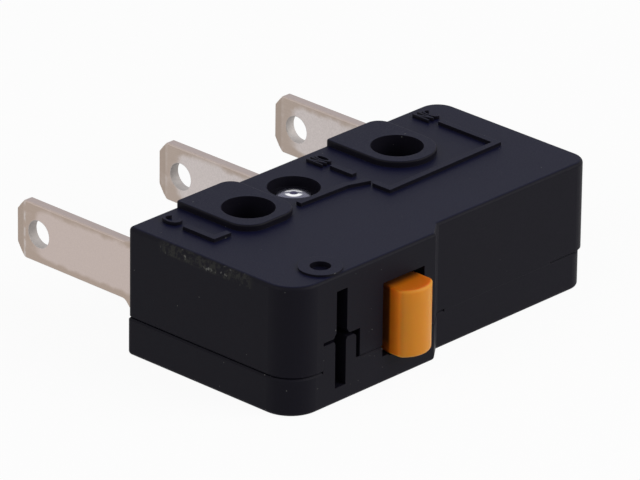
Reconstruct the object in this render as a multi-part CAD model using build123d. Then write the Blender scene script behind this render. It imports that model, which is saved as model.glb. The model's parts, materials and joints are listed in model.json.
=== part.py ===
from build123d import *

import math
import os

# A subminiature snap-action micro switch: pin plunger, three tab terminals, two mounting holes.
#
# Sizes are in millimetres. X runs along the row of tabs, Y points out along the tabs and Z is up.
# Plan positions are measured from the front left corner of the housing, where the front is the
# plunger's side. save() moves each piece, so that the origin is on the rest face at the axis of
# the first mounting hole. MID_Z is the level that the tabs and the mechanism lie round.

# Housing block
LENGTH = 19.8
DEPTH = 10.0
HEIGHT = 6.1  # rest face to the top face of the case
MID_Z = HEIGHT / 2
PARTING_Z = 1.77  # the cover ends and the case begins
STEP = 0.67  # the right part of the front stands back by this much
RAMP = (8.95, 9.8)  # the front slants back between these X positions
FRONT_LEFT_R = 1.5
FRONT_RIGHT_R = 0.9
BACK_RIGHT_R = 1.0
BACK_LEFT_R = 0.25
STEP_R = 0.12
EDGE_R = 0.18
GROOVE = 0.08  # chamfer on both sides of the parting line
COVER_SHIFT = -0.06  # the cover stands proud on the left
COVER_SHORT = 0.18  # the cover's right end stands back from the case
FLUSH_X = (10.3, 17.2)  # no groove shows between these, along the right part of the front

# Walls and the chamber inside
END_WALL = 0.9
FRONT_WALL = 0.95
BACK_WALL = 1.1
FLOOR_Z = 0.9
ROOF_Z = 5.1
INNER_RAMP = (9.1, 9.85)
BLOCK_Y = 5.06  # front of the thick block that holds the mounting holes
LEFT_POCKET_X = 2.6
RIGHT_POCKET_X = 17.4
INNER_R = 0.4
BLOCK_R = 0.2

# Mounting holes, in raised bosses
HOLE_1 = (4.7, 7.25)
HOLE_2 = (HOLE_1[0] + 9.5, HOLE_1[1])
HOLE_R = 1.2
BOSS_TOP = 6.4
BOSS_HALF = 1.72
BOSS_EDGE_R = 0.08

# Rivet that clamps the cover to the case
RIVET = (8.16, 7.82)
RIVET_HOLE_R = 0.6
RIVET_R = 0.57
RIVET_BORE_R = 0.36
RIVET_HEAD_R = 0.8
RIVET_LIP_R = 0.95
RECESS_R = 1.2
RECESS_DEPTH = 0.5

# Locating pins of the cover, and cores left hollow in the case
PINS = ((6.5, 6.0), (16.4, 6.0))
PIN_R = 0.45
PIN_HEIGHT = 1.0
PIN_HOLE_EXTRA = 0.2
FIT_GAP = 0.03
CORES = ((11.85, 7.9), (16.3, 8.05))
CORE_SIZE = (0.9, 1.7)

# Plunger and its opening
PLUNGER_X = 7.07
PLUNGER_HALF = 0.99
PLUNGER_Z = (1.28, 4.47)
PLUNGER_NOSE_Y = -1.1
PLUNGER_SIDE_Y = -0.62
PLUNGER_CORNER_R = 0.35
PLUNGER_RIM_R = 0.1
FLANGE_HALF = 1.6
FLANGE_Z = (0.95, 5.0)
FLANGE_T = 0.28
FOOT_R = 0.6
RUNNING_GAP = 0.06
SURROUND_X = (5.62, 8.24)  # shallow recess round the opening
SURROUND_Z = (1.3, 4.8)
SURROUND_DEPTH = 0.5

# Slot for an outside lever, and the cover's tongue that it runs down through
SLIT_X = (2.7, 3.37)
SLIT_Z = (0.76, 5.34)
SLIT_DEPTH = 0.7
TONGUE_X = (1.9, 3.95)
TONGUE_TOP = 3.0
TONGUE_R = 0.2
TONGUE_GAP = (0.24, 0.16)  # right of the tongue and above it
FLARE_HALF = 0.5  # the slot widens where it crosses the gap above the tongue
FLARE_UP = 0.66
FLARE_DOWN = 0.85

# Circuit diagram and dot on the top face
RIDGE_W = 0.3
RIDGE_H = 0.17
COMMON_LINE = ((1.58, 8.05), (1.58, 6.28), (2.45, 6.25))
MOVING_LINE = ((6.85, 6.26), (9.75, 6.16), (10.85, 5.78))
CLOSED_LINE = ((17.85, 8.0), (17.85, 4.6), (10.8, 4.5), (10.8, 5.42))
OPEN_LINE = ((10.85, 8.05), (10.85, 6.7))
DOT = (2.78, 1.08)
DOT_R = 0.98
DOT_H = 0.1
DOT_RECESS_R = 0.47
DOT_RECESS_DEPTH = 0.25

# Terminals, stamped from sheet
SHEET = 0.5
COMMON_X = 1.65
OPEN_X = 10.6
CLOSED_X = 18.15
TAB_HALF = 1.4
TAB_TIP_Y = 18.4
TIP_CUT = (0.54, 0.6)  # corner cut, along the tab and across it
TIP_COIN = 0.12  # the tip is thinned by this much on each face
TAB_HOLE_Y = 16.95
TAB_HOLE_R = 0.65
SHOULDER_HALVES = (1.5, 1.78)  # above the middle and below it
SHOULDER_Y = 11.25
SHOULDER_SLOPE = 0.35
EDGE_BREAK = 0.05
ROOT_Y = 6.0  # the blade ends here and the bent strip inside begins
STRIP_HALF = 1.1
STRIP_LAP = 0.1
BEND_R = 0.45

# Contacts
CONTACT_X = 16.5
CONTACT_R = 0.8
CONTACT_HEAD_H = 0.4
CONTACT_CROWN = 0.06
SHANK_R = 0.4
CONTACT_GAP = 0.5
CLOSED_GAP = 0.02  # left between contacts that touch, so that they never overlap

# Contact arm, on a knife edge at the common terminal
ARM_PIVOT = (6.38, 3.3)
ARM_TILT = -0.95  # degrees, at rest on the normally closed contact
ARM_T = 0.18
ARM_HALF = 1.3
ARM_END_HALF = 0.95
ARM_START = 0.02
ARM_CONTACT = CONTACT_X - ARM_PIVOT[0]
ARM_HOOK = 7.17
WINDOW_HALF = 0.7
MOVING_R = 0.7
POST_X = 6.25
POST_END_Y = 3.0
POST_NOTCH = (0.2, 0.25)  # depth and half height

# Actuating lever, hung in the common terminal's tongue
LEVER_PIVOT = (1.42, 1.78)
LEVER_T = 0.3
LEVER_X = (0.98, 8.0)
LEVER_HALF = 1.0
TONGUE_WINDOW = ((1.42, 2.2), 0.6)  # limits along X and half width
COIL_WINDOW = ((4.75, 7.4), 0.55)
FINGER_HALF = 0.5
FINGER_END_Y = 1.0
FINGER_NOTCH = (0.14, 0.26)
HOOK = (4.2, 3.1)  # where the spring pulls on the lever's fin
HOOK_HOLE_R = 0.2
FIN_T = 0.3
FIN_TOP = 0.38

# Tension spring between lever and arm
WIRE_R = 0.09
COIL_R = 0.36
COIL_TURNS = 12.25
LOOP_LENGTH = 0.7
KNEE_R = 0.12  # where the wire turns from the coil into a loop

# Levels along Y at the contacts
ARM_Y = ARM_PIVOT[1] + ARM_CONTACT * math.tan(math.radians(ARM_TILT))
MOVING_REACH = ARM_T / 2 + CONTACT_HEAD_H
CLOSED_FACE_Y = ARM_Y - MOVING_REACH - CLOSED_GAP
OPEN_FACE_Y = ARM_Y + MOVING_REACH + CONTACT_GAP
CLOSED_STRIP_Y = CLOSED_FACE_Y - CONTACT_HEAD_H - SHEET / 2
OPEN_STRIP_Y = BLOCK_Y - SHEET / 2


# Helpers


def rounded_face(corners):
    """A flat face from (x, y, corner radius) triples."""
    points = [(x, y) for x, y, _ in corners]
    radii = [r for _, _, r in corners]
    return make_face(FilletPolyline(*points, radius=radii, close=True))


def prism(face, low, high):
    """A plan face drawn up from one level to another."""
    return Pos(0, 0, low) * extrude(face, amount=high - low)


def rod(place, radius, low, high):
    """An upright cylinder between two levels."""
    return Pos(*place, (low + high) / 2) * Cylinder(radius, high - low)


def block(xs, ys, zs):
    """A box between pairs of limits."""
    size = [high - low for low, high in (xs, ys, zs)]
    middle = [(high + low) / 2 for low, high in (xs, ys, zs)]
    return Pos(*middle) * Box(*size)


def around(middle, half):
    """The pair of limits on both sides of a middle."""
    return (middle - half, middle + half)


def top_edges(solid):
    """The edges of the highest level."""
    return solid.edges().group_by(Axis.Z)[-1]


def bottom_edges(solid):
    """The edges of the lowest level."""
    return solid.edges().group_by(Axis.Z)[0]


# Housing


def housing_face(left=0.0, right=LENGTH):
    """The plan outline between two ends."""
    return rounded_face(
        [
            (left, 0, FRONT_LEFT_R),
            (RAMP[0], 0, STEP_R),
            (RAMP[1], STEP, STEP_R),
            (right, STEP, FRONT_RIGHT_R),
            (right, DEPTH, BACK_RIGHT_R),
            (left, DEPTH, BACK_LEFT_R),
        ]
    )


def flush_strip(low, high):
    """Fills the groove along part of the front, where the two mouldings meet without one."""
    return block(FLUSH_X, (STEP, STEP + 2 * GROOVE), (low, high))


def chamber_face():
    """The hollow: a long chamber for the mechanism, with a pocket at each end for a terminal."""
    right = LENGTH - END_WALL
    back = DEPTH - BACK_WALL
    front = FRONT_WALL
    return rounded_face(
        [
            (END_WALL, front, INNER_R),
            (INNER_RAMP[0], front, 0),
            (INNER_RAMP[1], front + STEP, 0),
            (right, front + STEP, INNER_R),
            (right, back, INNER_R),
            (RIGHT_POCKET_X, back, INNER_R),
            (RIGHT_POCKET_X, BLOCK_Y, BLOCK_R),
            (LEFT_POCKET_X, BLOCK_Y, BLOCK_R),
            (LEFT_POCKET_X, back, INNER_R),
            (END_WALL, back, INNER_R),
        ]
    )


def boss(hole, front_corners):
    """A mounting boss that runs back to the tab side; its front corners are given round the hole."""
    x, y = hole
    corners = [(x - BOSS_HALF, DEPTH, 0.15), (x + BOSS_HALF, DEPTH, 0.7)]
    corners += [(x + dx, y + dy, r) for dx, dy, r in front_corners]
    solid = prism(rounded_face(corners), ROOF_Z, BOSS_TOP)
    return fillet(top_edges(solid), BOSS_EDGE_R)


def bosses():
    """The first boss has a flatter front with wide corners; the second has a round front."""
    flat = [(BOSS_HALF, -1.66, 1.1), (-BOSS_HALF, -1.66, 1.1)]
    full = [(BOSS_HALF, -1.76, 1.65), (-BOSS_HALF, -1.76, 1.65)]
    return [boss(HOLE_1, flat), boss(HOLE_2, full)]


def diagram():
    """Raised lines of the circuit diagram."""
    lines = (COMMON_LINE, MOVING_LINE, CLOSED_LINE, OPEN_LINE)
    return [prism(trace(Polyline(*line), RIDGE_W), ROOF_Z, HEIGHT + RIDGE_H) for line in lines]


def dot():
    """The raised dot near the front left corner."""
    return rod(DOT, DOT_R, ROOF_Z, HEIGHT + DOT_H)


def plunger_opening():
    """The way through the front wall for the plunger, with a shallow recess round it."""
    through = block(
        around(PLUNGER_X, PLUNGER_HALF + RUNNING_GAP),
        (-1, FRONT_WALL + 1),
        (PLUNGER_Z[0] - RUNNING_GAP, PLUNGER_Z[1] + RUNNING_GAP),
    )
    return through + block(SURROUND_X, (-1, SURROUND_DEPTH), SURROUND_Z)


def slit():
    """The slot that takes the legs of an outside lever, wider where it crosses the tongue's top."""
    x = sum(SLIT_X) / 2
    z = TONGUE_TOP + TONGUE_GAP[1]
    corners = [(x, z + FLARE_UP), (x + FLARE_HALF, z), (x, z - FLARE_DOWN), (x - FLARE_HALF, z)]
    flare = make_face(Polyline(*corners, close=True))
    upright = Plane(origin=(0, SLIT_DEPTH, 0), x_dir=(1, 0, 0), z_dir=(0, -1, 0))
    return block(SLIT_X, (-1, SLIT_DEPTH), SLIT_Z) + extrude(upright * flare, amount=1)


def tongue_space():
    """The cut-out in the case for the cover's tongue."""
    return block(
        (TONGUE_X[0], TONGUE_X[1] + TONGUE_GAP[0]),
        (-1, FRONT_WALL + INNER_R),
        (0, TONGUE_TOP + TONGUE_GAP[1]),
    )


def tongue():
    """The part of the cover that stands up at the front, with one rounded corner."""
    solid = block(TONGUE_X, (0, FRONT_WALL), (FLOOR_Z, TONGUE_TOP))
    along_y = solid.edges().filter_by(Axis.Y)
    return fillet(along_y.sort_by(lambda edge: edge.center().X + edge.center().Z)[-1], TONGUE_R)


def terminal_slots():
    """Slots in the back wall and the thick block, with room for the middle terminal's bend."""
    zs = around(MID_Z, TAB_HALF)
    back = (DEPTH - 2 * BACK_WALL, DEPTH + 1)
    return [
        block(around(COMMON_X, SHEET / 2), back, zs),
        block(around(CLOSED_X, SHEET / 2), back, zs),
        block(around(OPEN_X, SHEET / 2), (BLOCK_Y - 1, DEPTH + 1), zs),
        block((OPEN_X, OPEN_X + SHEET), (BLOCK_Y - 1, BLOCK_Y + SHEET / 2), zs),
    ]


def through_holes():
    """Both mounting holes and the rivet's hole."""
    holes = ((HOLE_1, HOLE_R), (HOLE_2, HOLE_R), (RIVET, RIVET_HOLE_R))
    return [rod(place, radius, -1, BOSS_TOP + 1) for place, radius in holes]


def case():
    """The upper moulding: roof, walls, bosses and the thick block with its slots and cores."""
    body = prism(housing_face(), PARTING_Z, HEIGHT)
    body = fillet(top_edges(body), EDGE_R)
    body = chamfer(bottom_edges(body), GROOVE)
    body += [*bosses(), *diagram(), dot(), flush_strip(PARTING_Z, PARTING_Z + GROOVE)]
    body -= prism(chamber_face(), 0, ROOF_Z)
    body -= [*through_holes(), *terminal_slots(), plunger_opening(), slit(), tongue_space()]
    body -= rod(RIVET, RECESS_R, HEIGHT - RECESS_DEPTH, BOSS_TOP)
    body -= rod(DOT, DOT_RECESS_R, HEIGHT + DOT_H - DOT_RECESS_DEPTH, BOSS_TOP)
    pin_hole_top = PARTING_Z + PIN_HEIGHT + PIN_HOLE_EXTRA
    body -= [rod(place, PIN_R + FIT_GAP, 0, pin_hole_top) for place in PINS]
    core = RectangleRounded(*CORE_SIZE, BLOCK_R)
    return body - [prism(Pos(*place) * core, 0, ROOF_Z) for place in CORES]


def cover():
    """The lower moulding: floor, low walls, the front tongue and two locating pins."""
    body = prism(housing_face(COVER_SHIFT, LENGTH - COVER_SHORT), 0, PARTING_Z)
    body = fillet(bottom_edges(body), EDGE_R)
    body = chamfer(top_edges(body), GROOVE)
    body += [tongue(), flush_strip(PARTING_Z - GROOVE, PARTING_Z)]
    body -= prism(chamber_face(), FLOOR_Z, TONGUE_TOP + 1)
    body += [rod(place, PIN_R, FLOOR_Z, PARTING_Z + PIN_HEIGHT) for place in PINS]
    body -= [*through_holes(), *terminal_slots(), plunger_opening(), Pos(COVER_SHIFT, 0) * slit()]
    return body - rod(RIVET, RECESS_R, -1, RECESS_DEPTH)


def clamp_rivet():
    """A domed head with a punched centre on top, and a hollow end rolled over below."""
    seat = HEIGHT - RECESS_DEPTH
    rim = seat + 0.1
    crown = seat + 0.24
    roll = RECESS_DEPTH - 0.1
    dimple = (0.22, seat + 0.08)  # radius and level of its bottom
    profile = make_face(
        Line((0, dimple[1]), (dimple[0], crown))
        + RadiusArc((dimple[0], crown), (RIVET_HEAD_R, rim), 1.6)
        + Polyline(
            (RIVET_HEAD_R, rim),
            (RIVET_HEAD_R, seat),
            (RIVET_R, seat),
            (RIVET_R, RECESS_DEPTH),
            (RIVET_LIP_R, RECESS_DEPTH),
            (RIVET_LIP_R, roll),
        )
        + RadiusArc((RIVET_LIP_R, roll), (RIVET_BORE_R, roll), 0.42)
        + Polyline((RIVET_BORE_R, roll), (RIVET_BORE_R, 2.2), (0, 2.4), (0, dimple[1]))
    )
    return Pos(*RIVET, 0) * revolve(Plane.XZ * profile, Axis.Z)


# Plunger


def plunger():
    """A nose that bulges along the row, a flange that stops it inside, and a foot on the lever."""
    x, half = PLUNGER_X, PLUNGER_HALF
    flange_ys = (FRONT_WALL + FIT_GAP, FRONT_WALL + FIT_GAP + FLANGE_T)
    foot_y = LEVER_PIVOT[1] - LEVER_T / 2 - FIT_GAP - FOOT_R
    nose = make_face(
        ThreePointArc((x - half, PLUNGER_SIDE_Y), (x, PLUNGER_NOSE_Y), (x + half, PLUNGER_SIDE_Y))
        + Polyline(
            (x + half, PLUNGER_SIDE_Y),
            (x + half, flange_ys[1]),
            (x - half, flange_ys[1]),
            (x - half, PLUNGER_SIDE_Y),
        )
    )
    body = prism(nose, *PLUNGER_Z)
    body = fillet(body.edges().filter_by(Axis.Z).group_by(Axis.Y)[0], PLUNGER_CORNER_R)
    body = fillet(body.edges().filter_by(GeomType.CIRCLE), PLUNGER_RIM_R)
    body += block(around(x, FLANGE_HALF), flange_ys, FLANGE_Z)
    foot = Pos(x, foot_y) * Circle(FOOT_R) - Pos(x, flange_ys[0] - FOOT_R) * Rectangle(2, 2 * FOOT_R)
    return body + prism(foot, *around(MID_Z, LEVER_HALF))


# Terminals


def tab_border(root_y, shoulder_half):
    """One long border of a blade, from its root to its tip, with a sloping shoulder."""
    cut_y, cut_z = TIP_CUT
    return [
        (root_y, TAB_HALF, 0),
        (DEPTH, TAB_HALF, 0),
        (DEPTH, shoulder_half, 0),
        (SHOULDER_Y, shoulder_half, 0.08),
        (SHOULDER_Y + SHOULDER_SLOPE, TAB_HALF, 0.4),
        (TAB_TIP_Y - cut_y, TAB_HALF, 0.15),
        (TAB_TIP_Y, TAB_HALF - cut_z, 0.15),
    ]


def tab(x, root_y):
    """A terminal's blade, from its root inside to the coined tip, with a hole and shoulders."""
    cut_y = TIP_CUT[0]
    upper, lower = [tab_border(root_y, half) for half in SHOULDER_HALVES]
    corners = upper + [(y, -z, r) for y, z, r in reversed(lower)]
    side = Plane(origin=(x - SHEET / 2, 0, MID_Z), x_dir=(0, 1, 0), z_dir=(1, 0, 0))
    blade = extrude(side * rounded_face(corners), amount=SHEET)
    long_edges = blade.edges().filter_by(Axis.Y).filter_by(lambda edge: edge.length > 5)
    blade = chamfer(long_edges, EDGE_BREAK)
    thin = SHEET / 2 - TIP_COIN
    plan = Polyline(
        (x - SHEET / 2, root_y),
        (x - SHEET / 2, TAB_TIP_Y - cut_y),
        (x - thin, TAB_TIP_Y),
        (x + thin, TAB_TIP_Y),
        (x + SHEET / 2, TAB_TIP_Y - cut_y),
        (x + SHEET / 2, root_y),
        close=True,
    )
    blade &= prism(make_face(plan), 0, HEIGHT)
    hole = Pos(x, TAB_HOLE_Y, MID_Z) * Rot(0, 90, 0) * Cylinder(TAB_HOLE_R, 2 * SHEET)
    return blade - hole


def bent_strip(points, half_width, level=MID_Z):
    """Sheet that follows a bent line in plan."""
    path = FilletPolyline(*points, radius=BEND_R)
    return prism(trace(path, SHEET), *around(level, half_width))


def notch(x, y, size, way):
    """A V-shaped cutter that opens along X, one way or the other, from its point."""
    depth, half = size
    mouth = x + way * depth
    face = make_face(Polyline((x, y), (mouth, y + half), (mouth, y - half), close=True))
    return prism(face, 0, HEIGHT)


def common_terminal():
    """The leg splits. Two side arms end in notched posts for the contact arm, and the finger
    between them runs on to the front, where the lever hangs in its notch."""
    x = COMMON_X
    gap_half = FINGER_HALF + STRIP_LAP
    arm_half = (TAB_HALF - gap_half) / 2
    path = [(x, ROOT_Y + STRIP_LAP), (x, OPEN_STRIP_Y), (POST_X, OPEN_STRIP_Y), (POST_X, POST_END_Y)]
    piece = tab(x, ROOT_Y)
    for side in (-1, 1):
        piece += bent_strip(path, arm_half, MID_Z + side * (gap_half + arm_half))
    piece += block(around(x, SHEET / 2), (FINGER_END_Y, ROOT_Y), around(MID_Z, FINGER_HALF))
    piece -= notch(POST_X + SHEET / 2 - POST_NOTCH[0], ARM_PIVOT[1], POST_NOTCH, 1)
    return piece - notch(x - SHEET / 2 + FINGER_NOTCH[0], LEVER_PIVOT[1], FINGER_NOTCH, -1)


def contact_terminal(x, strip_y, end_x):
    """A tab whose leg turns into a strip that carries a fixed contact."""
    path = [(x, ROOT_Y + STRIP_LAP), (x, strip_y), (end_x, strip_y)]
    hole = Pos(CONTACT_X, strip_y, MID_Z) * Rot(90, 0, 0) * Cylinder(SHANK_R, 2 * SHEET)
    return tab(x, ROOT_Y) + bent_strip(path, STRIP_HALF) - hole


def normally_open_terminal():
    """The middle terminal: its leg turns along the thick block towards the right."""
    return contact_terminal(OPEN_X, OPEN_STRIP_Y, CONTACT_X + 0.6)


def normally_closed_terminal():
    """The right terminal: its leg runs to the front and turns back towards the left."""
    return contact_terminal(CLOSED_X, CLOSED_STRIP_Y, CONTACT_X - 0.9)


# Contacts


def crowned(radius, rim, crown):
    """A flat face under a low crown, that reaches down to the axis of a rivet."""
    return make_face(
        ThreePointArc((-radius, rim), (0, crown), (radius, rim))
        + Polyline((radius, rim), (radius, 0), (-radius, 0), (-radius, rim))
    )


def half_turned(face):
    """A face of a rivet, on both sides of its axis, turned round into a solid."""
    half = face & (Pos(MOVING_R + SHEET, 0) * Rectangle(2 * (MOVING_R + SHEET), 10))
    return revolve(half, Axis.Y)


def fixed_contact(face_y, strip_y):
    """A crowned head that stands on a strip, with its shank through the strip."""
    way = math.copysign(1, face_y - strip_y)
    head = Pos(0, SHEET / 2) * crowned(CONTACT_R, CONTACT_HEAD_H - CONTACT_CROWN, CONTACT_HEAD_H)
    solid = half_turned(head + Rectangle(2 * SHANK_R, SHEET))
    turn = Rot(0, 0, 0 if way > 0 else 180)
    return Pos(CONTACT_X, strip_y, MID_Z) * turn * solid


def moving_contact():
    """A double-headed silver rivet through the arm, crowned on both faces."""
    head = Pos(0, ARM_T / 2) * crowned(MOVING_R, CONTACT_HEAD_H - CONTACT_CROWN, CONTACT_HEAD_H)
    solid = half_turned(head + Rot(0, 0, 180) * head + Rectangle(2 * SHANK_R, ARM_T))
    return Pos(*ARM_PIVOT, MID_Z) * Rot(0, 0, ARM_TILT) * Pos(ARM_CONTACT, 0, 0) * solid


# Mechanism


def arm_plane():
    """The contact arm's own plane: x along the arm and y across it."""
    tilt = math.radians(ARM_TILT)
    return Plane(
        origin=(*ARM_PIVOT, MID_Z),
        x_dir=(math.cos(tilt), math.sin(tilt), 0),
        z_dir=(-math.sin(tilt), math.cos(tilt), 0),
    )


def mirrored_face(upper):
    """A face from the corners on one side of its long axis."""
    return rounded_face(upper + [(x, -y, r) for x, y, r in reversed(upper)])


def contact_arm():
    """A springy strip with two legs on the knife edge, a window for the spring and a round end."""
    taper = (7.6, 9.0)
    end = ARM_CONTACT + ARM_END_HALF
    shape = mirrored_face(
        [
            (ARM_START, ARM_HALF, 0.1),
            (taper[0], ARM_HALF, 1.5),
            (taper[1], ARM_END_HALF, 1.5),
            (end, ARM_END_HALF, 0.7),
        ]
    )
    shape -= mirrored_face([(-1, WINDOW_HALF, 0), (ARM_HOOK - LOOP_LENGTH / 2, WINDOW_HALF, 0.4)])
    shape -= Pos(ARM_HOOK, 0) * Circle(HOOK_HOLE_R)
    shape -= Pos(ARM_CONTACT, 0) * Circle(SHANK_R)
    return extrude(arm_plane() * shape, amount=ARM_T / 2, both=True)


def actuating_lever():
    """A flat plate with a window for the finger, one for the coil, and a fin for the spring."""
    across = Plane(origin=(0, LEVER_PIVOT[1], MID_Z), x_dir=(1, 0, 0), z_dir=(0, 1, 0))
    plate = mirrored_face([(LEVER_X[0], LEVER_HALF, 0.2), (LEVER_X[1], LEVER_HALF, 0.4)])
    for (low, high), half in (TONGUE_WINDOW, COIL_WINDOW):
        plate -= Pos((low + high) / 2, 0) * Rectangle(high - low, 2 * half)
    x, y = HOOK
    fin = rounded_face(
        [
            (x - 0.7, LEVER_PIVOT[1], 0),
            (x + 0.5, LEVER_PIVOT[1], 0),
            (x + FIN_TOP, y + FIN_TOP, 0.3),
            (x - FIN_TOP, y + FIN_TOP, 0.3),
        ]
    )
    piece = extrude(across * plate, amount=LEVER_T / 2, both=True)
    piece += prism(fin, *around(MID_Z, FIN_T / 2))
    return piece - rod(HOOK, HOOK_HOLE_R, 0, HEIGHT)


def wire(path):
    """Round wire along a path."""
    pen = Plane(origin=path @ 0, z_dir=path % 0) * Circle(WIRE_R)
    return sweep(pen, path=path)


def open_loop(plane):
    """A loop at one end of the coil: out along one side, round, and back along the other."""
    turn = LOOP_LENGTH - COIL_R
    path = Curve() + [
        Line((0, COIL_R), (turn, COIL_R)),
        RadiusArc((turn, COIL_R), (turn, -COIL_R), COIL_R),
        Line((turn, -COIL_R), (WIRE_R, -COIL_R)),
    ]
    return wire(plane * path)


def tension_spring():
    """An open coil with a loop at each end; the loops stand a quarter turn apart."""
    arm_end = arm_plane().from_local_coords((ARM_HOOK, 0, 0))
    lever_end = Vector(*HOOK, MID_Z)
    along = (arm_end - lever_end).normalized()
    span = (arm_end - lever_end).length - 2 * LOOP_LENGTH
    coil = wire(Helix(span / COIL_TURNS, span, COIL_R))
    left = Plane(origin=(0, 0, 0), x_dir=(0, 0, -1), z_dir=(0, -1, 0))
    right = Plane(origin=(0, 0, span), x_dir=(0, 0, 1), z_dir=(-1, 0, 0))
    knees = [Pos(COIL_R, 0, 0) * Sphere(KNEE_R), Pos(0, COIL_R, span) * Sphere(KNEE_R)]
    spring = coil + [open_loop(left), open_loop(right), *knees]
    return Plane(origin=lever_end + along * LOOP_LENGTH, x_dir=(0, 0, 1), z_dir=along) * spring


def save(name, solid):
    """Writes one piece, with the origin at the first mounting hole."""
    export_step(Pos(-HOLE_1[0], -HOLE_1[1], 0) * solid, f"parts/{name}.step")


def main():
    os.makedirs("parts", exist_ok=True)
    save("case", case())
    save("cover", cover())
    save("clamp_rivet", clamp_rivet())
    save("plunger", plunger())
    save("common_terminal", common_terminal())
    save("normally_open_terminal", normally_open_terminal())
    save("normally_closed_terminal", normally_closed_terminal())
    save("normally_open_contact", fixed_contact(OPEN_FACE_Y, OPEN_STRIP_Y))
    save("normally_closed_contact", fixed_contact(CLOSED_FACE_Y, CLOSED_STRIP_Y))
    save("contact_arm", contact_arm())
    save("moving_contact", moving_contact())
    save("actuating_lever", actuating_lever())
    save("tension_spring", tension_spring())


main()
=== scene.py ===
"""Dresses the snap-action micro switch: moulded lettering, finishes, and a plain studio to see it in."""

import json
import math

import bmesh
import bpy
from bpy.props import FloatProperty, FloatVectorProperty, PointerProperty, StringProperty
from mathutils import Matrix, Vector


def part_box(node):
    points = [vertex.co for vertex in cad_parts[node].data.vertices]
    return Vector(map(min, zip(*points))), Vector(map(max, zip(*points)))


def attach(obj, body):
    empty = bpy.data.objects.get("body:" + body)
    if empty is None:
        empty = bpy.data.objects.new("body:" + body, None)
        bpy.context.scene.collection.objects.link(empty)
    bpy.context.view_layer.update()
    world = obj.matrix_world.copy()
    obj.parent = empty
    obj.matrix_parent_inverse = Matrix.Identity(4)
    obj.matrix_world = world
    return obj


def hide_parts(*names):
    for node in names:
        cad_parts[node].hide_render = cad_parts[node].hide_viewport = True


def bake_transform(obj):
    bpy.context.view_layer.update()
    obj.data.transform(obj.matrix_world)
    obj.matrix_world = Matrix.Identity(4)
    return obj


bl_info = {
    "name": "Micro switch finishes",
    "version": (1, 0, 0),
    "blender": (4, 5, 0),
    "location": "View3D > Sidebar > Micro switch",
    "description": "Adds moulded lettering, material finishes and a small studio to the micro switch",
    "category": "Object",
}

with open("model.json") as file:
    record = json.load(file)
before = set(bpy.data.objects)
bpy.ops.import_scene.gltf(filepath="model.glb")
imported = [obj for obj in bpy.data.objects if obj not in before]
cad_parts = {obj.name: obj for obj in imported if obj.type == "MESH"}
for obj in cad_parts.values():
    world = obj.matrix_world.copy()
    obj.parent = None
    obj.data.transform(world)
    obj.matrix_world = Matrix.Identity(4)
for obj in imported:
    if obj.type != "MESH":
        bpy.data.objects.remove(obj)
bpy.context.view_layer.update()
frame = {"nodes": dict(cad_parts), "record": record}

MM = 0.001
PLASTIC_NODES = ("case", "cover")
TERMINAL_NODES = ("common_terminal", "normally_open_terminal", "normally_closed_terminal")
CONTACT_NODES = ("normally_open_contact", "normally_closed_contact", "moving_contact")

BOSS_HEIGHT = 0.3 * MM  # the mounting bosses stand this far above the top face
TAB_HALF = 1.4 * MM  # half the width of a terminal's tab
COINED = 0.50 * MM  # how far the darker finish of the coined tip reaches along a tab
WELD = 0.0005 * MM  # vertices nearer than this are one

# Tones that wear, dirt and light leave over the colours of the settings
# worn edges together with a painted highlight
WORN_RESIN_AND_EDGE_HIGHLIGHT = (0.03, 0.03, 0.034)
SCUFFED_RESIN = (0.031, 0.0305, 0.029)
# pale dust specks, and painted glints in the scuffed patch
DUST_AND_PAINTED_GLINT = (0.17, 0.17, 0.16)
LIT_AMBER = (1.0, 0.38, 0.034)
# painted highlight on the plunger's front rims
AMBER_RIM_HIGHLIGHT = (0.76, 0.33, 0.04)
# painted shade of the gap round the plunger
PAINTED_GAP_SHADE = (0.045, 0.014, 0.005)
WARM_PLATING = (0.51, 0.40, 0.35)
# painted highlight where the coined tip meets the flat
PAINTED_CREASE_HIGHLIGHT = (0.66, 0.64, 0.64)
# darker tone of the terminals' upward faces
DARKER_UPWARD_PLATING = (0.395, 0.335, 0.33)
# rubbed edges together with a painted highlight
RUBBED_PLATING_AND_HIGHLIGHT = (0.66, 0.59, 0.56)
PUNCHED_WALL = (0.50, 0.48, 0.47)
# painted highlight on the rivet head
PAINTED_RIVET_HIGHLIGHT = (0.93, 0.93, 0.96)
# painted dark reflection in the rivet's dimple
PAINTED_DIMPLE_SHADE = (0.05, 0.045, 0.09)

FLOOR_HALF = 1.6  # from the middle of the floor to its sides
FLOOR_GLOW = 0.94  # share of the floor's own light in what is seen of it
SENSOR_WIDTH = 36.0  # of the camera, in millimetres
CLIP = (0.01, 20.0)  # nearest and furthest that the camera sees
WHITE = (1.0, 1.0, 1.0, 1.0)


# ---------------------------------------------------------------- settings

def length(name, description, default, **limits):
    return FloatProperty(name=name, description=description, default=default, unit="LENGTH",
                         precision=6, **limits)


def colour(name, description, default):
    return FloatVectorProperty(name=name, description=description, default=default, size=3,
                               subtype="COLOR", min=0.0, max=1.0)


class LetteringSettings(bpy.types.PropertyGroup):
    """Sizes of the raised letters that name the three terminals."""

    cap_height: length("Cap height", "Height of a capital letter", 0.96 * MM, min=0.0)
    relief: length("Relief", "How far a letter stands above the case", 0.16 * MM, min=0.0)
    stroke: length("Extra stroke", "Width added to each stroke of the type", 0.02 * MM, min=0.0)
    edge: length("Edge radius", "Rounding of a letter's upper edge", 0.01 * MM, min=0.0)


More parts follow.
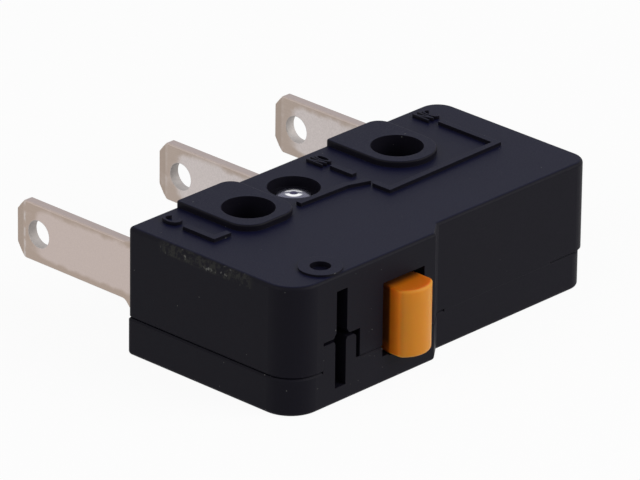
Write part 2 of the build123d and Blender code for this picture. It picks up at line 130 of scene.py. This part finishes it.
class FinishSettings(bpy.types.PropertyGroup):
    """Colours of the switch's materials."""

    housing: colour("Housing", "Black moulded resin of the case and cover", (0.0056, 0.0050, 0.0092))
    # painted sheen: the cooler, bluer tone that the upward faces are given in place of a reflection from
    # above
    painted_top_sheen: colour("Bloom", "Cooler tone of the resin's upward faces", (0.0036, 0.0040, 0.0190))
    plunger: colour("Plunger", "Amber moulded resin of the plunger", (0.62, 0.155, 0.005))
    # painted light together with rubbing: the paler amber of the front-facing faces
    lit_and_rubbed_nose: colour("Rubbed nose", "Paler amber where the plunger is pressed", (0.64, 0.258, 0.024))
    plating: colour("Plating", "Plated face of the terminals", (0.565, 0.51, 0.495))
    tarnish: colour("Tarnish", "Warm tone along the terminals' borders", (0.385, 0.305, 0.250))
    # painted reflection: the rivet's steel is given a dark, bluish tone in place of the dark surroundings
    # it reflects
    rivet: colour("Rivet", "Bright steel of the clamp rivet", (0.145, 0.145, 0.20))
    silver: colour("Contacts", "Silver alloy of the contact buttons", (0.80, 0.78, 0.74))
    bronze: colour("Contact arm", "Spring bronze of the moving arm", (0.62, 0.39, 0.20))
    steel: colour("Lever and spring", "Stainless steel of the inner lever and spring", (0.56, 0.55, 0.54))


class StageSettings(bpy.types.PropertyGroup):
    """Where the camera stands, and how strong the light is."""

    azimuth: FloatProperty(name="Azimuth", description="Angle of the camera round the switch",
                           default=math.radians(-46.6720), unit="ROTATION")
    elevation: FloatProperty(name="Elevation", description="Angle of the camera above the horizon",
                             default=math.radians(24.3111), unit="ROTATION")
    roll: FloatProperty(name="Roll", description="Turn of the camera about its own axis",
                        default=math.radians(0.7112), unit="ROTATION")
    distance: length("Distance", "From the camera to the point it looks at", 334.8866 * MM)
    lens: FloatProperty(name="Lens", description="Focal length in millimetres", default=427.349)
    aim: FloatVectorProperty(name="Aim", description="The point that the camera looks at", size=3,
                             default=(4.0212 * MM, -0.5294 * MM, 3.7154 * MM),
                             subtype="XYZ", unit="LENGTH", precision=6)
    ambient: FloatProperty(name="Ambient", description="Level of the even light from all round",
                           default=0.28, min=0.0)
    key: FloatProperty(name="Key light", description="Power of the large front lamp in watts",
                       default=0.86, min=0.0)
    fill: FloatProperty(name="Fill light", default=0.34, min=0.0,
                        description="Power of the lamp on the terminals' side in watts")
    floor: colour("Floor", "Colour of the floor", (0.86, 0.86, 0.86))


# ---------------------------------------------------------------- shader helpers

class Link:
    """A number socket of a material, so that a pattern can be written as a sum."""

    def __init__(self, finish, socket):
        self.finish = finish
        self.socket = socket

    def _math(self, operation, first, second):
        return self.finish.node("ShaderNodeMath", {"operation": operation}, {0: first, 1: second})

    def __add__(self, other):
        return self._math("ADD", self, other)

    def __radd__(self, other):
        return self._math("ADD", other, self)

    def __sub__(self, other):
        return self._math("SUBTRACT", self, other)

    def __rsub__(self, other):
        return self._math("SUBTRACT", other, self)

    def __mul__(self, other):
        return self._math("MULTIPLY", self, other)

    def __rmul__(self, other):
        return self._math("MULTIPLY", other, self)


class Finish:
    """A node material that is being built."""

    def __init__(self, owner):
        owner.use_nodes = True
        self.tree = owner.node_tree
        self.tree.nodes.clear()

    def node(self, kind, settings=None, inputs=None, output=0):
        made = self.tree.nodes.new(kind)
        for name, value in (settings or {}).items():
            setattr(made, name, value)
        for name, value in (inputs or {}).items():
            if isinstance(value, Link):
                self.tree.links.new(value.socket, made.inputs[name])
            else:
                made.inputs[name].default_value = value
        return Link(self, made.outputs[output]) if made.outputs else None

    def place(self):
        return self.node("ShaderNodeTexCoord", output="Object")

    def facing(self):
        """The three parts of the surface's own direction."""
        return self.axes(self.node("ShaderNodeTexCoord", output="Normal"))

    def function(self, operation, value):
        return self.node("ShaderNodeMath", {"operation": operation}, {0: value})

    def outputs(self, link, names):
        """Several outputs of the node that a link comes from."""
        return [Link(self, link.socket.node.outputs[name]) for name in names]

    def axes(self, place):
        return self.outputs(self.node("ShaderNodeSeparateXYZ", inputs={0: place}), range(3))

    def distance(self, first, second):
        """Distance from the line along which both values are 0."""
        return self.function("SQRT", first * first + second * second)

    def stretched(self, place, scale):
        return self.node("ShaderNodeMapping", inputs={"Vector": place, "Scale": scale})

    def noise(self, place, size, detail=2.0, roughness=0.5):
        """Soft noise between 0 and 1 whose lumps are about `size` metres."""
        return self.node("ShaderNodeTexNoise", inputs={
            "Vector": place, "Scale": 1.0 / size, "Detail": detail, "Roughness": roughness})

    def ramp(self, value, low, high, start=0.0, end=1.0):
        """Runs smoothly from `start` to `end` while value goes from `low` to `high`."""
        return self.node("ShaderNodeMapRange", {"interpolation_type": "SMOOTHSTEP", "clamp": True}, {
            "Value": value, "From Min": low, "From Max": high, "To Min": start, "To Max": end})

    def fade(self, value, low, high):
        """1 up to `low`, falling smoothly to 0 at `high`."""
        return self.ramp(value, low, high, 1.0, 0.0)

    def band(self, value, low, high, soft):
        """1 between `low` and `high`, with soft ends."""
        return self.ramp(value, low - soft, low + soft) * self.fade(value, high - soft, high + soft)

    def mix(self, share, first, second):
        """Blends two colours, each a tuple or a link."""
        tone = [v if isinstance(v, Link) else (*v, 1.0) for v in (first, second)]
        inputs = {0: share, 6: tone[0], 7: tone[1]}
        return self.node("ShaderNodeMix", {"data_type": "RGBA"}, inputs, output=2)

    def rounded(self, radius):
        """The surface normal with its edges rounded off."""
        return self.node("ShaderNodeBevel", {"samples": 6}, {"Radius": radius})

    def edges(self, radius):
        """1 along an edge, 0 on a flat."""
        flat = self.node("ShaderNodeNewGeometry", output="Normal")
        same = self.node("ShaderNodeVectorMath", {"operation": "DOT_PRODUCT"},
                         {0: self.rounded(radius), 1: flat}, output="Value")
        return self.ramp(1.0 - same, 0.004, 0.12)

    def bump(self, height, distance, normal):
        inputs = {"Height": height, "Distance": distance, "Strength": 1.0, "Normal": normal}
        return self.node("ShaderNodeBump", inputs=inputs)

    def surface(self, inputs):
        """Ends the material in a Principled shader."""
        shader = self.node("ShaderNodeBsdfPrincipled", inputs=inputs)
        self.node("ShaderNodeOutputMaterial", inputs={"Surface": shader})


def scaled(tone, share):
    """A colour made darker or lighter, and never past white."""
    return [min(1.0, part * share) for part in tone]


def new_material(name, builder, *values):
    material = bpy.data.materials.new(name)
    builder(Finish(material), *values)
    return material


def mount(name):
    """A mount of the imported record."""
    return next(item for item in frame["record"]["mounts"] if item["name"] == name)


def dress(nodes, material):
    """Gives CAD nodes a material through their own slots."""
    for name in nodes:
        part = frame["nodes"][name]
        if not part.material_slots:
            raise RuntimeError("node %s has no material slot" % name)
        for place in part.material_slots:
            place.material = material


# ---------------------------------------------------------------- finishes

def moulded_black(finish, tone, painted_top_sheen):
    """Satin black resin: a painted cool sheen on the upward faces, fine grain, a few pale dust specks, and
    a scuffed end with painted glints.
    """
    place = finish.place()
    x, y, z = finish.axes(place)
    low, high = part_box("case")
    top = high.z - BOSS_HEIGHT
    # painted sheen: upward faces near the top take the bluish tone of a reflection from above
    upward = finish.ramp(finish.facing()[2], 0.80, 0.98) * finish.ramp(z, top - 0.2 * MM, top - 0.1 * MM)
    clouds = finish.noise(place, 2.2 * MM, 3.0)
    grain = finish.noise(place, 0.055 * MM, 3.0, 0.6)
    orange_peel = finish.noise(place, 0.35 * MM, 1.0)
    edge = finish.edges(0.05 * MM)
    dust = finish.ramp(finish.noise(place, 0.12 * MM, 0.0), 0.872, 0.90)
    end_face = finish.fade(x, low.x + 0.10 * MM, low.x + 0.22 * MM)
    scuffed = (end_face * finish.band(y, low.y + 2.6 * MM, low.y + 7.9 * MM, 0.3 * MM)
               * finish.band(z, top - 0.58 * MM, top - 0.04 * MM, 0.06 * MM))
    scuffs = scuffed * finish.ramp(finish.noise(place, 0.30 * MM, 3.0, 0.7), 0.42, 0.60)
    # painted glints: small bright spots in the scuffed patch
    glints = scuffed * finish.ramp(finish.noise(place, 0.23 * MM, 1.0), 0.67, 0.79)
    shade = finish.mix(upward, tone, painted_top_sheen)
    deep = finish.mix(upward, scaled(tone, 0.84), scaled(painted_top_sheen, 0.84))
    shade = finish.mix(clouds, deep, shade)
    # worn edges together with a painted highlight: every edge is lightened a little
    shade = finish.mix(edge * 0.05, shade, WORN_RESIN_AND_EDGE_HIGHLIGHT)
    shade = finish.mix(scuffs * 0.85, shade, SCUFFED_RESIN)
    shade = finish.mix(glints * 0.75 + dust * 0.6, shade, DUST_AND_PAINTED_GLINT)
    rough = finish.ramp(grain, 0.3, 0.7, 0.44, 0.56) + scuffs * 0.2
    relief = grain * 0.55 + orange_peel * 0.45 + scuffs * 1.5
    finish.surface({
        "Base Color": shade, "Roughness": rough, "Specular IOR Level": 0.074,
        "Normal": finish.bump(relief, 0.0022 * MM, finish.rounded(0.02 * MM)),
    })


def moulded_amber(finish, tone, lit_and_rubbed_nose):
    """Amber resin, paler on its front-facing nose through rubbing and painted light together, with painted
    highlights on its rims, painted light on its sides beside the wall, and painted shade inside the gap
    round it.
    """
    place = finish.place()
    y, z = finish.axes(place)[1:]
    front = finish.ramp(finish.facing()[1] * -1.0, 0.05, 0.60)
    clouds = finish.noise(finish.stretched(place, (1.0, 1.0, 0.45)), 0.7 * MM, 3.0)
    grain = finish.noise(place, 0.045 * MM, 2.0)
    streaks = finish.noise(finish.stretched(place, (1.0, 0.2, 1.0)), 0.05 * MM, 2.0)
    edge = finish.edges(0.20 * MM)
    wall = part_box("case")[0].y
    flat = finish.ramp(finish.facing()[2], 0.5, 0.9)
    # painted shade: the plunger is darkened from where it enters the wall, and less so near its foot
    gap = finish.ramp(y, wall - 0.05 * MM - flat * 0.18 * MM,
                      wall + 0.10 * MM + flat * 0.25 * MM)
    gap = gap * finish.ramp(z, 1.40 * MM, 2.0 * MM, 0.55, 1.0)
    lit = finish.fade(y, wall - 0.80 * MM, wall) * (1.0 - flat)
    # painted light together with rubbing: faces that turn to the front take the paler amber
    shade = finish.mix(front, tone, lit_and_rubbed_nose)
    shade = finish.mix(lit * (1.0 - front), shade, LIT_AMBER)
    shade = finish.mix(clouds * 0.12, shade, scaled(tone, 0.6))
    # painted highlight: the front-facing rims are lightened
    shade = finish.mix(edge * front * 0.2, shade, AMBER_RIM_HIGHLIGHT)
    shade = finish.mix(gap * 0.9, shade, PAINTED_GAP_SHADE)
    finish.surface({
        "Base Color": shade, "Roughness": finish.ramp(streaks, 0.3, 0.7, 0.38, 0.48),
        "Specular IOR Level": 0.16, "Subsurface Weight": 0.9,
        "Subsurface Radius": (1.0, 0.5, 0.15), "Subsurface Scale": 1.1 * MM,
        "Normal": finish.bump(grain + streaks * 0.6, 0.0012 * MM, finish.rounded(0.24 * MM)),
    })


def plated_strip(finish, tone, tarnish):
    """Plated brass strip with rolling lines along it, warm tarnish at its borders and a painted highlight
    where the coined tip meets the flat.
    """
    place = finish.place()
    x, y, z = finish.axes(place)
    low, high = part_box("common_terminal")
    tip = high.y
    hole = mount("common_tab_hole")
    hole_y, level = hole["pos_m"][1:]
    hole_r = hole["dims"]["r_mm"] * MM
    upward = finish.ramp(finish.facing()[2], 0.5, 0.9)
    rolled = finish.noise(finish.stretched(place, (1.0, 0.035, 1.0)), 0.035 * MM, 2.0)
    mottle = finish.noise(place, 0.8 * MM, 4.0, 0.6)
    speckle = finish.noise(place, 0.07 * MM, 2.0, 0.6)
    edge = finish.edges(0.05 * MM)
    across = z - level
    from_hole = finish.distance(y - hole_y, across)
    hole_wall = finish.fade(from_hole, hole_r + 0.005 * MM, hole_r + 0.025 * MM)
    border = (finish.ramp(finish.function("ABSOLUTE", across), TAB_HALF - 0.55 * MM, TAB_HALF + 0.02 * MM)
              + finish.ramp(across, -TAB_HALF, -0.5 * TAB_HALF, 0.45, 0.0)
              + finish.ramp(y, tip - 2.0 * MM, tip - 0.7 * MM))
    coined = finish.ramp(y, tip - COINED, tip - COINED + 0.08 * MM)
    # painted highlight: a broken bright line where the coined tip meets the flat
    coined_edge_highlight = (finish.band(y, tip - COINED - 0.12 * MM, tip - COINED, 0.03 * MM)
              * finish.ramp(finish.noise(place, 0.3 * MM, 2.0), 0.40, 0.62))
    stain = finish.ramp(border * 0.7 + mottle, 0.66, 1.22)
    warm = finish.fade(x, low.x, low.x + 9.0 * MM)
    shade = finish.mix(finish.ramp(speckle, 0.35, 0.7), scaled(tone, 0.95), scaled(tone, 1.06))
    shade = finish.mix(warm * 0.55, shade, WARM_PLATING)
    shade = finish.mix(stain * 0.78, shade, tarnish)
    shade = finish.mix(coined * 0.5, shade, scaled(tarnish, 0.9))
    shade = finish.mix(coined_edge_highlight * (warm * 0.35 + 0.1), shade, PAINTED_CREASE_HIGHLIGHT)
    # the upward faces are darker
    shade = finish.mix(upward * 0.85, shade, DARKER_UPWARD_PLATING)
    # rubbed edges together with a painted highlight: every edge is lightened
    shade = finish.mix(edge * 0.4, shade, RUBBED_PLATING_AND_HIGHLIGHT)
    shade = finish.mix(hole_wall * 0.8, shade, PUNCHED_WALL)
    rough = finish.ramp(rolled, 0.3, 0.7, 0.30, 0.40) + stain * 0.12 + hole_wall * 0.3
    finish.surface({
        "Base Color": shade, "Metallic": 1.0, "Roughness": rough,
        "Normal": finish.bump(rolled * 0.8 + speckle * 0.6, 0.0009 * MM, finish.rounded(0.05 * MM)),
    })


def spun_rivet(finish, tone):
    """A rivet head with rings from the spinning tool, two painted highlights beside its centre and a
    painted dark reflection in the centre dimple.
    """
    place = finish.place()
    x, y = finish.axes(place)[:2]
    low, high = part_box("clamp_rivet")
    dx, dy = x - 0.5 * (low.x + high.x), y - 0.5 * (low.y + high.y)
    radius = finish.distance(dx, dy)
    rings = finish.node("ShaderNodeTexNoise", {"noise_dimensions": "1D"},
                        {"W": radius, "Scale": 1.0 / (0.07 * MM), "Detail": 2.0})
    cloud = finish.noise(place, 0.5 * MM, 2.0)
    # painted highlight: two bright spots beside the centre, on a line across the camera's view
    sideways = finish.function("ABSOLUTE", dx * 0.73 + dy * 0.68)
    painted_highlight_spots = (finish.band(radius, 0.20 * MM, 0.40 * MM, 0.04 * MM)
             * finish.ramp(sideways, 0.06 * MM, 0.14 * MM))
    # painted shade: the centre dimple is darkened in place of the dark surroundings it reflects
    dimple_shade = finish.fade(radius, 0.17 * MM, 0.21 * MM)
    shade = finish.mix(rings, scaled(tone, 0.72), scaled(tone, 1.28))
    shade = finish.mix(cloud * 0.3, shade, scaled(tone, 0.8))
    shade = finish.mix(painted_highlight_spots, shade, PAINTED_RIVET_HIGHLIGHT)
    shade = finish.mix(dimple_shade * 0.9, shade, PAINTED_DIMPLE_SHADE)
    finish.surface({
        "Base Color": shade, "Metallic": 1.0, "Roughness": finish.ramp(rings, 0.3, 0.7, 0.22, 0.32),
        "Normal": finish.bump(rings, 0.0016 * MM, finish.rounded(0.03 * MM)),
    })


def turned_metal(finish, tone, size, relief, roughness):
    """Bright metal with fine tool marks and a cloudier, darker skin in places."""
    place = finish.place()
    marks = finish.noise(finish.stretched(place, (1.0, 1.0, 6.0)), size, 3.0, 0.6)
    cloud = finish.noise(place, 0.5 * MM, 2.0)
    edge = finish.edges(0.05 * MM)
    shade = finish.mix(cloud, scaled(tone, 0.82), scaled(tone, 1.08))
    shade = finish.mix(edge * 0.4, shade, scaled(tone, 1.25))
    finish.surface({
        "Base Color": shade, "Metallic": 1.0,
        "Roughness": finish.ramp(marks, 0.3, 0.7, roughness, roughness + 0.12),
        "Normal": finish.bump(marks, relief, finish.rounded(0.03 * MM)),
    })


# ---------------------------------------------------------------- operators

class SWITCH_OT_housing_finish(bpy.types.Operator):
    """Gives the case and cover their satin black resin"""

    bl_idname = "microswitch.housing_finish"
    bl_label = "Finish the housing"
    bl_options = {"REGISTER", "UNDO"}

    def execute(self, context):
        tones = context.scene.switch_finishes
        resin = new_material("moulded_black", moulded_black,
                             tuple(tones.housing), tuple(tones.painted_top_sheen))
        dress(PLASTIC_NODES, resin)
        return {"FINISHED"}


class SWITCH_OT_plunger_finish(bpy.types.Operator):
    """Gives the plunger its amber resin"""

    bl_idname = "microswitch.plunger_finish"
    bl_label = "Finish the plunger"
    bl_options = {"REGISTER", "UNDO"}

    def execute(self, context):
        tones = context.scene.switch_finishes
        resin = new_material("moulded_amber", moulded_amber,
                             tuple(tones.plunger), tuple(tones.lit_and_rubbed_nose))
        dress(("plunger",), resin)
        return {"FINISHED"}


class SWITCH_OT_terminal_finish(bpy.types.Operator):
    """Gives the three terminals their plated strip"""

    bl_idname = "microswitch.terminal_finish"
    bl_label = "Finish the terminals"
    bl_options = {"REGISTER", "UNDO"}

    def execute(self, context):
        tones = context.scene.switch_finishes
        strip = new_material("plated_strip", plated_strip,
                             tuple(tones.plating), tuple(tones.tarnish))
        dress(TERMINAL_NODES, strip)
        return {"FINISHED"}


class SWITCH_OT_metal_finish(bpy.types.Operator):
    """Gives the rivet, the contacts and the moving parts inside their metals"""

    bl_idname = "microswitch.metal_finish"
    bl_label = "Finish the small metal parts"
    bl_options = {"REGISTER", "UNDO"}

    def execute(self, context):
        tones = context.scene.switch_finishes
        dress(("clamp_rivet",), new_material("spun_rivet", spun_rivet, tuple(tones.rivet)))
        steel_nodes = ("actuating_lever", "tension_spring")
        finishes = (  # name, nodes, colour, size and depth of the tool marks, roughness
            ("contact_silver", CONTACT_NODES, tones.silver, 0.05 * MM, 0.0008 * MM, 0.28),
            ("spring_bronze", ("contact_arm",), tones.bronze, 0.05 * MM, 0.0006 * MM, 0.26),
            ("stainless_steel", steel_nodes, tones.steel, 0.04 * MM, 0.0006 * MM, 0.24),
        )
        for name, nodes, tone, size, relief, roughness in finishes:
            dress(nodes, new_material(name, turned_metal, tuple(tone), size, relief, roughness))
        return {"FINISHED"}


class SWITCH_OT_spring(bpy.types.Operator):
    """Halves the tension spring into a lever end and an arm end, each closed at the cut"""

    bl_idname = "microswitch.spring"
    bl_label = "Hook up the tension spring"
    bl_options = {"REGISTER", "UNDO"}

    loop: length("Loop", "Length of the stiff loop at each end of the coil", 0.75 * MM)

    def execute(self, context):
        low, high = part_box("tension_spring")
        middle = 0.5 * (low + high)
        lever_half = self.half("spring_lever_end", middle, -1.0)
        arm_half = self.half("spring_arm_end", middle, 1.0)
        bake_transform(lever_half)
        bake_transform(arm_half)
        for piece in (lever_half, arm_half):
            context.scene.collection.objects.link(piece)
            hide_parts("tension_spring")
        return {"FINISHED"}

    @staticmethod
    def half(name, middle, side):
        """The part of the spring on one side of the middle, closed at the cut."""
        shape = bmesh.new()
        shape.from_mesh(frame["nodes"]["tension_spring"].data)
        bmesh.ops.remove_doubles(shape, verts=shape.verts, dist=WELD)
        whole = shape.verts[:] + shape.edges[:] + shape.faces[:]
        bmesh.ops.bisect_plane(shape, geom=whole, dist=0.0002 * MM, plane_co=middle,
                               plane_no=(side, 0.0, 0.0), clear_inner=True)
        bmesh.ops.holes_fill(shape, edges=[edge for edge in shape.edges if edge.is_boundary])
        bmesh.ops.recalc_face_normals(shape, faces=shape.faces)
        if not shape.faces:
            raise RuntimeError("half of the tension spring came out empty")
        mesh = bpy.data.meshes.new(name)
        shape.to_mesh(mesh)
        shape.free()
        mesh.materials.append(bpy.data.materials["stainless_steel"])
        mesh.shade_smooth()
        return bpy.data.objects.new(name, mesh)


class SWITCH_OT_lettering(bpy.types.Operator):
    """Raises one terminal's letters on the face of the case"""

    bl_idname = "microswitch.lettering"
    bl_label = "Raise a terminal's letters"
    bl_options = {"REGISTER", "UNDO"}

    text: StringProperty(name="Text", description="The letters to raise", default="C")
    piece: StringProperty(name="Piece", description="Name of the new piece", default="letters_common")
    across: length("Across", "From the case's end to the middle of the letters", 1.5 * MM)
    along: length("Along", "From the case's front to the middle of the letters", 8.8 * MM)
    width: length("Width", "From the first letter's left side to the last one's right side", 0.5 * MM)
    sunk: length("Sunk", "How far the letters reach into the case", 0.06 * MM)

    def execute(self, context):
        sizes = context.scene.switch_lettering
        low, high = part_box("case")
        top = high.z - BOSS_HEIGHT
        mesh, real_size = self.type_mesh(context, sizes)
        middle = Vector((low.x + self.across, low.y + self.along, top + 0.5 * (sizes.relief - self.sunk)))
        mesh.transform(Matrix.Translation(middle) @ real_size)
        shape = bmesh.new()
        shape.from_mesh(mesh)
        bmesh.ops.remove_doubles(shape, verts=shape.verts, dist=WELD)
        bmesh.ops.dissolve_degenerate(shape, edges=shape.edges, dist=WELD)
        bmesh.ops.recalc_face_normals(shape, faces=shape.faces)
        if not shape.faces:
            raise RuntimeError("the letters %s came out empty" % self.text)
        shape.to_mesh(mesh)
        shape.free()
        mesh.materials.clear()
        mesh.materials.append(bpy.data.materials["moulded_black"])
        letters = bpy.data.objects.new(self.piece, mesh)
        context.scene.collection.objects.link(letters)
        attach(letters, "housing")
        return {"FINISHED"}

    def type_mesh(self, context, sizes):
        """The letters at the type's own size, and the matrix that brings them to their real size."""
        curve = bpy.data.curves.new(self.piece + "_type", "FONT")
        curve.body = self.text
        curve.align_x, curve.align_y = "CENTER", "CENTER"
        curve.size = 1.0
        curve.resolution_u = 3
        maker = bpy.data.objects.new(self.piece + "_type", curve)
        context.scene.collection.objects.link(maker)
        context.view_layer.update()
        plain = bpy.data.meshes.new_from_object(maker)
        squeeze = self.width / self.span(plain, 0)
        scale = sizes.cap_height / self.span(plain, 1)
        bpy.data.meshes.remove(plain)
        curve.offset = 0.5 * sizes.stroke / scale
        curve.bevel_depth = sizes.edge / scale
        curve.bevel_resolution = 1
        curve.extrude = 0.5 * (sizes.relief + self.sunk) / scale - curve.bevel_depth
        context.view_layer.update()
        mesh = bpy.data.meshes.new_from_object(maker)
        mesh.name = self.piece
        bpy.data.objects.remove(maker)
        bpy.data.curves.remove(curve)
        return mesh, Matrix.Diagonal((squeeze, scale, scale, 1.0))

    @staticmethod
    def span(mesh, axis):
        """How far a mesh reaches along one axis."""
        places = [vertex.co[axis] for vertex in mesh.vertices]
        return max(places) - min(places)


class SWITCH_OT_stage(bpy.types.Operator):
    """Sets the floor, the lamps, the world and the camera round the switch"""

    bl_idname = "microswitch.stage"
    bl_label = "Set the stage"
    bl_options = {"REGISTER", "UNDO"}

    def execute(self, context):
        stage = context.scene.switch_stage
        self.lay_floor(context, stage)
        self.light_world(context, stage)
        aim = Vector(stage.aim)
        self.hang_lamp(context, "key_lamp", aim, direction=(0.42, -0.74, 0.52),
                       distance=0.36, side=0.24, power=stage.key)
        self.hang_lamp(context, "fill_lamp", aim, direction=(-0.86, 0.16, 0.48),
                       distance=0.36, side=0.20, power=stage.fill)
        self.place_camera(context, stage)
        context.scene.view_settings.view_transform = "Standard"
        return {"FINISHED"}

    @staticmethod
    def seen(finish):
        """1 for what the camera, a reflection or a see-through part meets."""
        path = finish.node("ShaderNodeLightPath", output="Is Camera Ray")
        camera, glossy, through = finish.outputs(
            path, ("Is Camera Ray", "Is Glossy Ray", "Is Transmission Ray"))
        return finish.ramp(camera + glossy + through, 0.0, 1.0)

    def lay_floor(self, context, stage):
        shape = bmesh.new()
        bmesh.ops.create_grid(shape, x_segments=1, y_segments=1, size=FLOOR_HALF)
        mesh = bpy.data.meshes.new("floor")
        shape.to_mesh(mesh)
        shape.free()
        floor = bpy.data.objects.new("floor", mesh)
        context.scene.collection.objects.link(floor)
        material = bpy.data.materials.new("studio_floor")
        finish = Finish(material)
        matt = finish.node("ShaderNodeBsdfDiffuse", inputs={"Color": (*stage.floor, 1.0)})
        glow = finish.node("ShaderNodeEmission", inputs={"Color": WHITE, "Strength": 1.0})
        share = self.seen(finish) * FLOOR_GLOW
        both = finish.node("ShaderNodeMixShader", inputs={0: share, 1: matt, 2: glow})
        finish.node("ShaderNodeOutputMaterial", inputs={"Surface": both})
        mesh.materials.append(material)

    def light_world(self, context, stage):
        world = bpy.data.worlds.new("studio")
        context.scene.world = world
        finish = Finish(world)
        level = stage.ambient + self.seen(finish) * (1.0 - stage.ambient)
        light = finish.node("ShaderNodeBackground", inputs={"Color": WHITE, "Strength": level})
        finish.node("ShaderNodeOutputWorld", inputs={"Surface": light})

    @staticmethod
    def hang_lamp(context, name, aim, direction, distance, side, power):
        light = bpy.data.lights.new(name, "AREA")
        light.shape = "SQUARE"
        light.size = side
        light.energy = power
        lamp = bpy.data.objects.new(name, light)
        away = Vector(direction).normalized()
        lamp.location = aim + away * distance
        lamp.rotation_mode = "QUATERNION"
        lamp.rotation_quaternion = away.to_track_quat("Z", "Y")
        context.scene.collection.objects.link(lamp)

    @staticmethod
    def place_camera(context, stage):
        flat = math.cos(stage.elevation)
        back = Vector((math.sin(stage.azimuth) * flat, -math.cos(stage.azimuth) * flat,
                       math.sin(stage.elevation)))
        level = Vector((0.0, 0.0, 1.0)).cross(back).normalized()
        upright = back.cross(level)
        right = level * math.cos(stage.roll) + upright * math.sin(stage.roll)
        up = upright * math.cos(stage.roll) - level * math.sin(stage.roll)
        view = bpy.data.cameras.new("camera")
        view.sensor_width = SENSOR_WIDTH
        view.lens = stage.lens
        view.clip_start, view.clip_end = CLIP
        camera = bpy.data.objects.new("camera", view)
        context.scene.collection.objects.link(camera)
        camera.matrix_world = (Matrix.Translation(Vector(stage.aim) + back * stage.distance)
                               @ Matrix((right, up, back)).transposed().to_4x4())
        context.scene.camera = camera


class SWITCH_PT_panel(bpy.types.Panel):
    """Lists the steps and the values they use"""

    bl_idname = "SWITCH_PT_panel"
    bl_label = "Micro switch"
    bl_space_type = "VIEW_3D"
    bl_region_type = "UI"
    bl_category = "Micro switch"

    def draw(self, context):
        scene = context.scene
        for operator in OPERATORS:
            self.layout.operator(operator.bl_idname)
        for group in (scene.switch_lettering, scene.switch_finishes, scene.switch_stage):
            box = self.layout.box()
            for name in group.bl_rna.properties.keys():
                if name not in {"rna_type", "name"}:
                    box.prop(group, name)


OPERATORS = (
    SWITCH_OT_housing_finish,
    SWITCH_OT_plunger_finish,
    SWITCH_OT_terminal_finish,
    SWITCH_OT_metal_finish,
    SWITCH_OT_spring,
    SWITCH_OT_lettering,
    SWITCH_OT_stage,
)
CLASSES = (LetteringSettings, FinishSettings, StageSettings, *OPERATORS, SWITCH_PT_panel)


def register():
    for item in CLASSES:
        bpy.utils.register_class(item)
    bpy.types.Scene.switch_lettering = PointerProperty(type=LetteringSettings)
    bpy.types.Scene.switch_finishes = PointerProperty(type=FinishSettings)
    bpy.types.Scene.switch_stage = PointerProperty(type=StageSettings)


def unregister():
    del bpy.types.Scene.switch_stage
    del bpy.types.Scene.switch_finishes
    del bpy.types.Scene.switch_lettering
    for item in reversed(CLASSES):
        bpy.utils.unregister_class(item)


def main():
    register()
    steps = bpy.ops.microswitch
    steps.housing_finish()
    steps.plunger_finish()
    steps.terminal_finish()
    steps.metal_finish()
    steps.spring()
    steps.lettering(text="C", piece="letters_common", across=1.66 * MM, along=8.93 * MM, width=0.54 * MM)
    steps.lettering(text="NO", piece="letters_open", across=10.91 * MM, along=8.80 * MM, width=0.74 * MM)
    steps.lettering(text="NC", piece="letters_closed", across=17.92 * MM, along=8.87 * MM, width=0.80 * MM)
    steps.stage()


if __name__ == "__main__":
    main()
